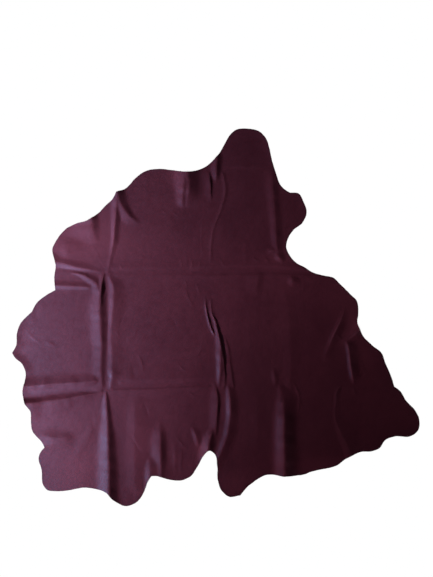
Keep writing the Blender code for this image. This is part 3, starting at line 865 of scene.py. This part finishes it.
class CutEdge:
    """The cut edge of the hide: its loop of points, and how far each stands up from the floor."""

    def __init__(self):
        smooth = edge_loop()
        self.middle = (smooth.min(axis=0) + smooth.max(axis=0)) / 2
        outward = sideways(smooth)
        self.loop = smooth + outward * waves(smooth, EDGE_WAVES, EDGE_SEED)[:, None]
        self.lift = RUFFLE.height * np.maximum(cloud(smooth, RUFFLE.size, RUFFLE_SEED), 0)
        for lift in LIFTS:
            away = np.hypot(*(smooth - np.array([lift.x, lift.y]) * MM).T)
            self.lift += lift.height * MM * np.exp(-((away / (lift.reach * MM)) ** 2))
        self.tree = kdtree.KDTree(len(smooth))
        for number, point in enumerate(self.loop):
            self.tree.insert((*point, 0), number)
        self.tree.balance()

    def distance(self, points):
        """For each point, the nearest point of the edge and how far off it is."""
        found = [self.tree.find((x, y, 0)) for x, y in points.tolist()]
        return np.array([f[1] for f in found]), np.array([f[2] for f in found])

    def lifted(self, points):
        """How far the strip beside the edge stands up at each point."""
        nearest, away = self.distance(points)
        return self.lift[nearest] * np.maximum(1 - away / LIFT_WIDTH, 0) ** 2


def sheet_height(points, cut):
    """Height of the sheet's flesh side over the floor."""
    folded = sum(fold_height(crest, points) ** CROSSING_POWER for crest in FOLD_CRESTS)
    creased = sum(fold_height(crest, points) for crest in CREASE_CRESTS)
    lying = folded ** (1 / CROSSING_POWER) + creased + waves(points, WAVES, WAVES_SEED) + cut.lifted(points)
    return (lying + np.sqrt(lying**2 + SETTLED**2)) / 2


def inside(points, loop):
    """Which points lie inside the closed loop."""
    found = []
    start = loop
    end = np.roll(loop, -1, axis=0)
    rise = np.where(end[:, 1] == start[:, 1], 1, end[:, 1] - start[:, 1])
    slant = (end - start)[:, 0] / rise
    for some in np.array_split(points, len(points) // BATCH + 1):
        y = some[:, 1, None]
        spans = (start[:, 1] > y) != (end[:, 1] > y)
        crossing = start[:, 0] + (y - start[:, 1]) * slant
        found.append((spans & (some[:, 0, None] < crossing)).sum(axis=1) % 2 == 1)
    return np.concatenate(found)


def rows_along(crests, shares):
    """Points in rows along each crest, from the crest itself out to its feet."""
    found = []
    for share in shares:
        for crest in crests:
            out = sideways(crest) * share
            found.append(crest[:, :2] + out * crest[:, 3, None])
            found.append(crest[:, :2] - out * crest[:, 4, None])
    return np.concatenate(found)


def panel_points(loop):
    """Points in staggered rows over the whole hide."""
    low = loop.min(axis=0)
    high = loop.max(axis=0)
    rows = []
    for number, y in enumerate(np.arange(low[1], high[1], PANEL_STEP * 3**0.5 / 2)):
        x = np.arange(low[0] + number % 2 * PANEL_STEP / 2, high[0], PANEL_STEP)
        rows.append(np.column_stack([x, np.full(len(x), y)]))
    return np.concatenate(rows)


def sheet_points(loop):
    """The points of the sheet: its edge, then those on folds, creases and panels that keep their gap."""
    kept = []
    cells = {}

    def keep(point):
        kept.append(point)
        cells.setdefault((int(point[0] // CELL), int(point[1] // CELL)), []).append(point)

    for point in loop.tolist():
        keep(point)
    for candidates, gap in (
        (rows_along(CREASE_CRESTS, CREASE_SHARES), CREASE_GAP),
        (rows_along(FOLD_CRESTS, ROW_SHARES), ROW_GAP),
        (panel_points(loop), PANEL_GAP),
    ):
        for x, y in candidates[inside(candidates, loop)].tolist():
            column, row = int(x // CELL), int(y // CELL)
            near = (
                other
                for i in (column - 1, column, column + 1)
                for j in (row - 1, row, row + 1)
                for other in cells.get((i, j), ())
            )
            if all((x - a) ** 2 + (y - b) ** 2 >= gap**2 for a, b in near):
                keep([x, y])
    return np.array(kept)


def painted_patch(points, patch):
    """How much a soft patch of painted shade (above 0) or painted light (below 0) changes the colour at some
    points.
    """
    away = (points / MM - (patch.x, patch.y)) / (patch.across, patch.along)
    return patch.depth * np.exp(-(away**2).sum(axis=1))


def flat_sheet(cut):
    """The sheet laid out flat: its points, the cut edge's first, and its triangles, which face up."""
    edge = [list(range(len(cut.loop)))]
    inner_triangles = 1
    points = sheet_points(cut.loop).tolist()
    flat, _, triangles, *_ = delaunay_2d_cdt(points, [], edge, inner_triangles, MERGE_GAP)
    flat = np.array(flat)
    triangles = np.array(triangles)
    a, b, c = flat[triangles].transpose(1, 0, 2)
    if np.cross(b - a, c - a).sum() < 0:
        triangles = triangles[:, ::-1]
    return flat, triangles


def sharpen_cut(mesh, total, count):
    """Makes the mesh's edges along the cut sharp. Each side has total points, the first count on the cut."""
    ends = np.empty(2 * len(mesh.edges), dtype=int)
    mesh.edges.foreach_get("vertices", ends)
    first, last = ends.reshape(-1, 2).T
    along_cut = (first % total < count) & (last % total < count) & (first // total == last // total)
    mesh.edges.foreach_set("use_edge_sharp", along_cut)


def sheet_mesh():
    """The hide as one closed mesh: its grain side, its flesh side and the cut edge between them."""
    cut = CutEdge()
    flat, triangles = flat_sheet(cut)
    height = sheet_height(flat, cut)
    around = [
        sheet_height(flat + np.array(step) * BEND_REACH, cut) for step in ((1, 0), (-1, 0), (0, 1), (0, -1))
    ]
    bend = height - np.mean(around, axis=0)
    height -= height.min()
    place = flat - cut.middle
    total = len(flat)
    count = len(cut.loop)
    points = np.concatenate([
        np.column_stack([place, height + THICKNESS]),
        np.column_stack([place, height]),
    ])
    i = np.arange(count)
    j = np.roll(i, -1)
    rim = np.column_stack([i, j, j + total, i + total])
    faces = [*triangles.tolist(), *(triangles[:, ::-1] + total).tolist(), *rim.tolist()]
    mesh = bpy.data.meshes.new("hide_leather")
    mesh.from_pydata(points.tolist(), [], faces)
    side = np.repeat([GRAIN, FLESH, CUT], [len(triangles), len(triangles), len(rim)])
    mesh.polygons.foreach_set("material_index", side)
    mesh.polygons.foreach_set("use_smooth", [True] * len(side))
    sharpen_cut(mesh, total, count)
    _, away = cut.distance(flat)
    for name, values in (
        ("bend", np.clip(bend / FULL_BEND, -1, 1)),
        ("edge", np.exp(-((away / WORN_WIDTH) ** 2))),
        # painted light and shade, from the soft patches
        ("painted_light_and_shade", sum(painted_patch(flat, patch) for patch in PAINTED_LIGHT_AND_SHADE)),
    ):
        attribute = mesh.attributes.new(name, "FLOAT", "POINT")
        attribute.data.foreach_set("value", np.tile(values, 2).astype(np.float32))
    mesh.update()
    return mesh


def linear(colour):
    """A colour given as sRGB hex, made linear."""
    parts = [int(colour[i : i + 2], 16) / 255 for i in (1, 3, 5)]
    parts = [part / 12.92 if part <= 0.04045 else ((part + 0.055) / 1.055) ** 2.4 for part in parts]
    return (*parts, 1)


def add_node(tree, kind, settings=None, values=None, links=None):
    """Adds a node with its settings, the values of its sockets and what is linked to them."""
    made = tree.nodes.new(kind)
    for name, value in (settings or {}).items():
        setattr(made, name, value)
    for socket, value in (values or {}).items():
        made.inputs[socket].default_value = value
    for socket, source in (links or {}).items():
        tree.links.new(source, made.inputs[socket])
    return made


def new_material(name, shader_values):
    """A material with one Principled shader, and its tree, shader and Object coordinates."""
    material = bpy.data.materials.new(name)
    material.use_nodes = True
    tree = material.node_tree
    shader = tree.nodes["Principled BSDF"]
    for socket, value in shader_values.items():
        shader.inputs[socket].default_value = value
    place = add_node(tree, "ShaderNodeTexCoord").outputs["Object"]
    return material, tree, shader, place


def grain_side():
    """Full-grain cowhide, drum dyed and lightly glazed: the grain side.

    The dye goes in unevenly, so the colour is cloudy. Soft patches of painted shade darken it where
    folds and panels fall in shade, and patches of painted light pale it where they catch the light.
    The glaze gives a broad, soft violet shine. Pebbled grain and growth wrinkles break that shine
    up. Folds wear paler along their crests, creases are painted darker with painted shade, and
    handling darkens the strip beside the cut edge.
    """
    material, tree, shader, place = new_material("wine_full_grain_leather", {
        "Metallic": 0,
        "IOR": 1.5,
        "Specular IOR Level": 0.5,
        "Specular Tint": linear("#cfd2ff"),
    })
    cloudy = add_node(
        tree, "ShaderNodeTexNoise", values={"Scale": 1 / CLOUD, "Detail": 3, "Roughness": 0.55},
        links={"Vector": place},
    )
    mottled = add_node(
        tree, "ShaderNodeTexNoise", values={"Scale": 1 / MOTTLE, "Detail": 4, "Roughness": 0.62},
        links={"Vector": place},
    )
    along_growth = add_node(
        tree, "ShaderNodeMapping", {"vector_type": "TEXTURE"},
        {"Rotation": (0, 0, GROWTH_TURN), "Scale": GROWTH_WRINKLE}, {"Vector": place},
    )
    wrinkled = add_node(
        tree, "ShaderNodeTexNoise",
        values={"Scale": 1, "Detail": 3, "Roughness": 0.55, "Distortion": 0.5},
        links={"Vector": along_growth.outputs[0]},
    )
    causes = {
        name: add_node(tree, "ShaderNodeAttribute", {"attribute_name": name}).outputs["Fac"]
        for name in ("bend", "edge", "painted_light_and_shade")
    }
    dye = add_node(
        tree, "ShaderNodeMath", {"operation": "MULTIPLY_ADD"},
        {1: MOTTLE_SHARE}, {0: mottled.outputs["Fac"], 2: cloudy.outputs["Fac"]},
    )
    dye = add_node(
        tree, "ShaderNodeMath", {"operation": "MULTIPLY_ADD"},
        {1: WRINKLE_SHARE}, {0: wrinkled.outputs["Fac"], 2: dye.outputs[0]},
    )
    dye = add_node(
        tree, "ShaderNodeMapRange", values={"From Min": DYE_SPAN[0], "From Max": DYE_SPAN[1]},
        links={"Value": dye.outputs[0]},
    )
    colour = add_node(
        tree, "ShaderNodeMixRGB", values={"Color1": linear("#441520"), "Color2": linear("#53202c")},
        links={"Fac": dye.outputs[0]},
    )
    amounts = {}
    for name, change in CHANGES.items():
        amounts[name] = add_node(
            tree, "ShaderNodeMapRange",
            values={"From Min": change.start, "From Max": change.full, "To Max": change.most},
            links={"Value": causes[change.cause]},
        ).outputs[0]
        colour = add_node(
            tree, "ShaderNodeMixRGB", values={"Color2": linear(change.colour)},
            links={"Fac": amounts[name], "Color1": colour.outputs[0]},
        )
    tree.links.new(colour.outputs[0], shader.inputs["Base Color"])
    gloss = add_node(
        tree, "ShaderNodeMapRange",
        values={
            "From Min": MOTTLE_SPAN[0], "From Max": MOTTLE_SPAN[1],
            "To Min": ROUGHNESS[0], "To Max": ROUGHNESS[1],
        },
        links={"Value": mottled.outputs["Fac"]},
    )
    gloss = add_node(
        tree, "ShaderNodeMath", {"operation": "MULTIPLY_ADD"},
        {1: TONE_GLOSS}, {0: causes["painted_light_and_shade"], 2: gloss.outputs[0]},
    )
    gloss = add_node(
        tree, "ShaderNodeMath", {"operation": "MULTIPLY_ADD"},
        {1: WORN_GLOSS}, {0: amounts["worn"], 2: gloss.outputs[0]},
    )
    tree.links.new(gloss.outputs[0], shader.inputs["Roughness"])
    pebbles = add_node(
        tree, "ShaderNodeTexVoronoi", {"feature": "SMOOTH_F1"}, {"Scale": 1 / PEBBLE, "Smoothness": 0.35},
        {"Vector": place},
    )
    relief = add_node(
        tree, "ShaderNodeBump", {"invert": True}, {"Strength": 1, "Distance": PEBBLE_DEPTH},
        {"Height": pebbles.outputs["Distance"]},
    )
    for lumps, depth in ((wrinkled, GROWTH_DEPTH), (mottled, MOTTLE_DEPTH)):
        relief = add_node(
            tree, "ShaderNodeBump", values={"Strength": 1, "Distance": depth},
            links={"Height": lumps.outputs["Fac"], "Normal": relief.outputs[0]},
        )
    tree.links.new(relief.outputs[0], shader.inputs["Normal"])
    return material


def flesh_side():
    """The flesh side, shaved and buffed: a dull, dusty nap, paler than the grain side.

    Its short fibres lie in small brushed patches, and scatter the light with no shine.
    """
    material, tree, shader, place = new_material("wine_buffed_flesh", {
        "Metallic": 0,
        "IOR": 1.45,
        "Roughness": 0.93,
        "Specular IOR Level": 0.2,
        "Sheen Weight": 0.25,
        "Sheen Roughness": 0.6,
        "Sheen Tint": linear("#c99aa6"),
    })
    patches = add_node(
        tree, "ShaderNodeTexNoise", values={"Scale": 1 / NAP_PATCH, "Detail": 5, "Roughness": 0.6},
        links={"Vector": place},
    )
    fibres = add_node(
        tree, "ShaderNodeTexNoise", values={"Scale": 1 / NAP_FIBRE, "Detail": 3, "Distortion": 1.5},
        links={"Vector": place},
    )
    shade = add_node(
        tree, "ShaderNodeMath", {"operation": "MULTIPLY_ADD"}, {1: FIBRE_SHARE},
        {0: fibres.outputs["Fac"], 2: patches.outputs["Fac"]},
    )
    shade = add_node(
        tree, "ShaderNodeMapRange", values={"From Min": NAP_SPAN[0], "From Max": NAP_SPAN[1]},
        links={"Value": shade.outputs[0]},
    )
    colour = add_node(
        tree, "ShaderNodeMixRGB", values={"Color1": linear("#6a3544"), "Color2": linear("#8a5563")},
        links={"Fac": shade.outputs[0]},
    )
    tree.links.new(colour.outputs[0], shader.inputs["Base Color"])
    nap = add_node(
        tree, "ShaderNodeBump", values={"Strength": 1, "Distance": NAP_DEPTH},
        links={"Height": fibres.outputs["Fac"]},
    )
    tree.links.new(nap.outputs[0], shader.inputs["Normal"])
    return material


def cut_side():
    """The cut edge, left raw: a darker core where the dye went through, with broken fibres."""
    material, tree, shader, place = new_material("wine_raw_cut_edge", {
        "Metallic": 0,
        "IOR": 1.45,
        "Roughness": 0.85,
        "Specular IOR Level": 0.3,
    })
    fibres = add_node(
        tree, "ShaderNodeTexNoise", values={"Scale": 1 / CUT_FIBRE, "Detail": 3}, links={"Vector": place}
    )
    colour = add_node(
        tree, "ShaderNodeMixRGB", values={"Color1": linear("#3a1620"), "Color2": linear("#5e3340")},
        links={"Fac": fibres.outputs["Fac"]},
    )
    tree.links.new(colour.outputs[0], shader.inputs["Base Color"])
    frayed = add_node(
        tree, "ShaderNodeBump", values={"Strength": 1, "Distance": CUT_DEPTH},
        links={"Height": fibres.outputs["Fac"]},
    )
    tree.links.new(frayed.outputs[0], shader.inputs["Normal"])
    return material


def add_hide():
    """The hide, in place on the floor."""
    hide = bpy.data.objects.new("hide_leather", sheet_mesh())
    for material in (grain_side(), flesh_side(), cut_side()):
        hide.data.materials.append(material)
    bpy.context.scene.collection.objects.link(hide)
    return hide


def add_floor():
    """A plain pale floor under the hide."""
    mesh = bpy.data.meshes.new("studio_floor")
    half = FLOOR_SIZE / 2
    signs = ((-1, -1), (1, -1), (1, 1), (-1, 1))
    mesh.from_pydata([(half * x, half * y, FLOOR_LEVEL) for x, y in signs], [], [(0, 1, 2, 3)])
    floor = bpy.data.objects.new("studio_floor", mesh)
    material, _, _, _ = new_material("matt_white_floor", {"Base Color": (0.9, 0.9, 0.9, 1), "Roughness": 0.9})
    mesh.materials.append(material)
    bpy.context.scene.collection.objects.link(floor)
    return floor


def add_light(name, kind, place, towards, lights_only, diffuse=True, glossy=True, **settings):
    """A lamp that lights the given objects alone."""
    lamp = bpy.data.lights.new(name, kind)
    for setting, value in settings.items():
        setattr(lamp, setting, value)
    light = bpy.data.objects.new(name, lamp)
    light.location = place
    light.rotation_mode = "QUATERNION"
    light.rotation_quaternion = Vector(towards).to_track_quat("-Z", "Y")
    light.visible_camera = False
    light.visible_diffuse = diffuse
    light.visible_glossy = glossy
    lit = bpy.data.collections.new(name + "_lights")
    for piece in lights_only:
        lit.objects.link(piece)
    light.light_linking.receiver_collection = lit
    bpy.context.scene.collection.objects.link(light)


def add_world():
    """A pale studio all round, which itself lights the scene only a little."""
    world = bpy.data.worlds.new("pale_studio")
    world.use_nodes = True
    tree = world.node_tree
    dim = tree.nodes["Background"]
    dim.inputs["Color"].default_value = linear("#dfe4f0")
    dim.inputs["Strength"].default_value = FILL_STRENGTH
    pale = add_node(tree, "ShaderNodeBackground", values={"Color": (1, 1, 1, 1), "Strength": WALL_STRENGTH})
    seen = add_node(tree, "ShaderNodeLightPath").outputs["Is Camera Ray"]
    either = add_node(
        tree, "ShaderNodeMixShader", links={0: seen, 1: dim.outputs[0], 2: pale.outputs[0]}
    )
    tree.links.new(either.outputs[0], tree.nodes["World Output"].inputs["Surface"])
    bpy.context.scene.world = world


def add_camera():
    """Straight above the hide, looking down, with the neck at the top."""
    camera = bpy.data.cameras.new("camera")
    camera.lens = LENS
    camera.sensor_width = SENSOR
    above = bpy.data.objects.new("camera", camera)
    above.location = CAMERA_PLACE
    bpy.context.scene.collection.objects.link(above)
    bpy.context.scene.camera = above


hide = add_hide()
floor = add_floor()
for name, box in SOFTBOXES.items():
    add_light(
        name, "AREA", box.place, box.aim, [hide], diffuse=name != "gloss", glossy=name == "gloss",
        shape="RECTANGLE", size=box.width, size_y=box.height, energy=box.power, color=box.colour,
        spread=math.radians(box.spread),
    )
add_light("floor_wash", "SUN", FLOOR_WASH_PLACE, DOWN, [floor], energy=FLOOR_WASH, angle=FLOOR_WASH_SPREAD)
add_world()
add_camera()
bpy.context.scene.view_settings.view_transform = "Standard"

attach(hide, "root")
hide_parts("hide")
